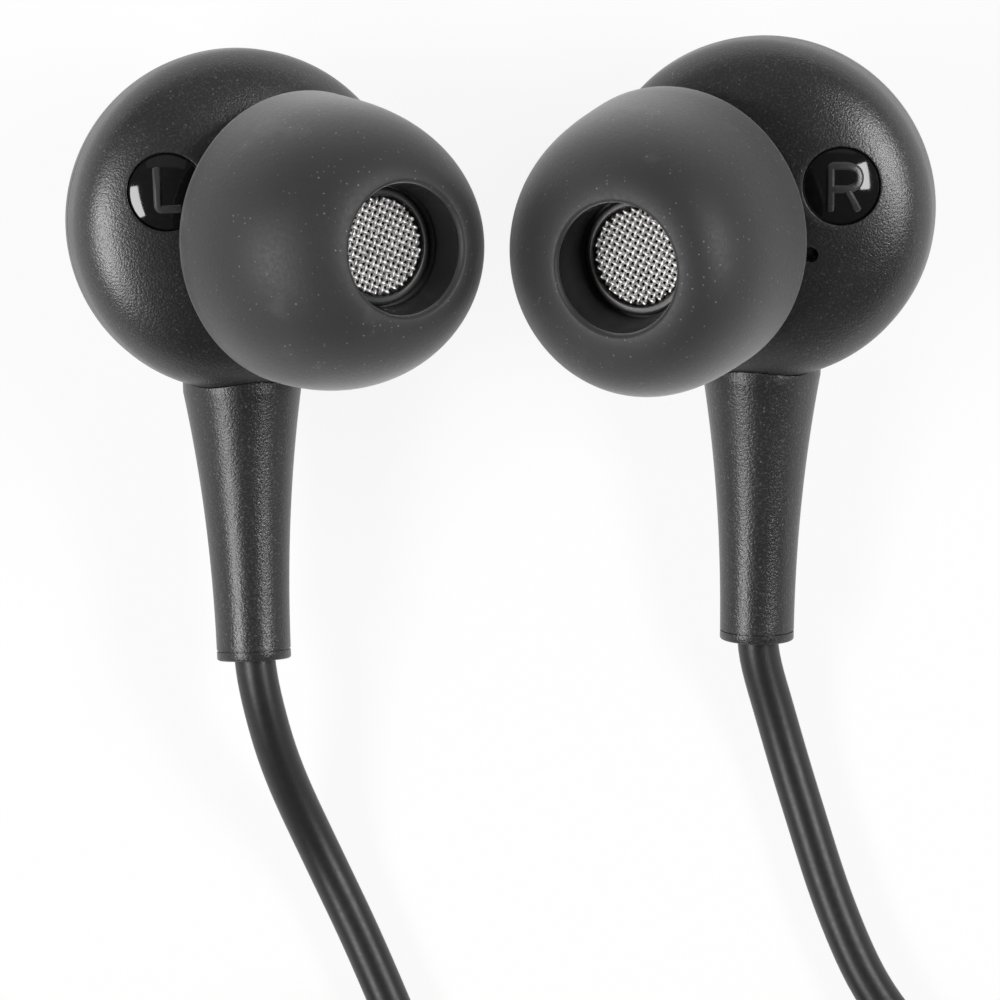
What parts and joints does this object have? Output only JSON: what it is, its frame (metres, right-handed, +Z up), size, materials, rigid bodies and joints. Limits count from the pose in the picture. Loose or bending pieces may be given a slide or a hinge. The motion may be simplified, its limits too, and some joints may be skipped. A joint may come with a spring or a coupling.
{
  "type": "wired in-ear earphones",
  "caption": "Wired in-ear earphones: round satin housings with angled soft ear tips and tapered stems, on a thin cord with a Y splitter, tied coils and a jack plug.",
  "frame": {"origin": "on the table, under the middle of the two earpieces (the cord and what is on it left out)", "axes": "+X from the left earpiece to the right one, +Y away from the stems, +Z up from the table"},
  "size_m": [0.0486, 0.1198, 0.0169],
  "materials": {
    "shell": "satin charcoal plastic with a very fine sparkle grain",
    "stem": "satin charcoal plastic with a coarser grain",
    "mark": "polished black inlay",
    "silicone": "matte dark grey silicone",
    "nozzle": "satin dark grey plastic",
    "steel": "bare steel, woven as a fine screen on the nozzle",
    "rubber": "soft black rubber",
    "cord": "smooth satin dark rubber jacket",
    "frame": "moulded black plastic",
    "magnet": "nickel-plated magnet",
    "copper": "enamelled copper wire",
    "film": "thin translucent film",
    "board": "green solder resist",
    "brass": "plain brass",
    "chrome": "bright plated contact",
    "tie": "soft black strap"
  },
  "bodies": {
    "earphones": {"left_front_shell": "shell", "left_rear_shell": "shell", "left_side_mark": "mark", "left_stem": "stem", "left_cable_crimp": "brass", "left_cable_bush": "rubber", "left_nozzle": "nozzle", "left_nozzle_mesh": "steel", "left_driver_frame": "frame", "left_yoke": "steel", "left_magnet": "magnet", "left_pole_plate": "steel", "left_voice_coil": "copper", "left_diaphragm": "film", "left_terminal_board": "board", "left_cord": "cord", "left_cord_coil": "cord", "left_cord_tail": "cord", "left_cord_coil_tie": "tie", "right_front_shell": "shell", "right_rear_shell": "shell", "right_side_mark": "mark", "right_stem": "stem", "right_cable_crimp": "brass", "right_cable_bush": "rubber", "right_nozzle": "nozzle", "right_nozzle_mesh": "steel", "right_driver_frame": "frame", "right_yoke": "steel", "right_magnet": "magnet", "right_pole_plate": "steel", "right_voice_coil": "copper", "right_diaphragm": "film", "right_terminal_board": "board", "right_cord": "cord", "right_cord_coil": "cord", "right_cord_tail": "cord", "right_cord_coil_tie": "tie", "y_splitter": "shell", "main_cord": "cord", "main_cord_coil": "cord", "main_cord_tail": "cord", "main_cord_coil_tie": "tie", "plug_relief": "rubber", "plug_grip": "shell", "plug_sleeve": "chrome", "plug_rear_insulator": "rubber", "plug_ring": "chrome", "plug_front_insulator": "rubber", "plug_tip": "chrome"},
    "left_tip": {"left_ear_tip": "silicone"},
    "right_tip": {"right_ear_tip": "silicone"}
  },
  "joints": [
    {"name": "left_tip_turn", "type": "hinge", "parent": "earphones", "child": "left_tip", "pos_m": [-0.00703, 0.00432, 0.00975], "axis": [0.5422, -0.0336, 0.8396], "continuous": true},
    {"name": "right_tip_turn", "type": "hinge", "parent": "earphones", "child": "right_tip", "pos_m": [0.00743, 0.0043, 0.00993], "axis": [-0.461, -0.1456, 0.8754], "continuous": true}
  ]
}
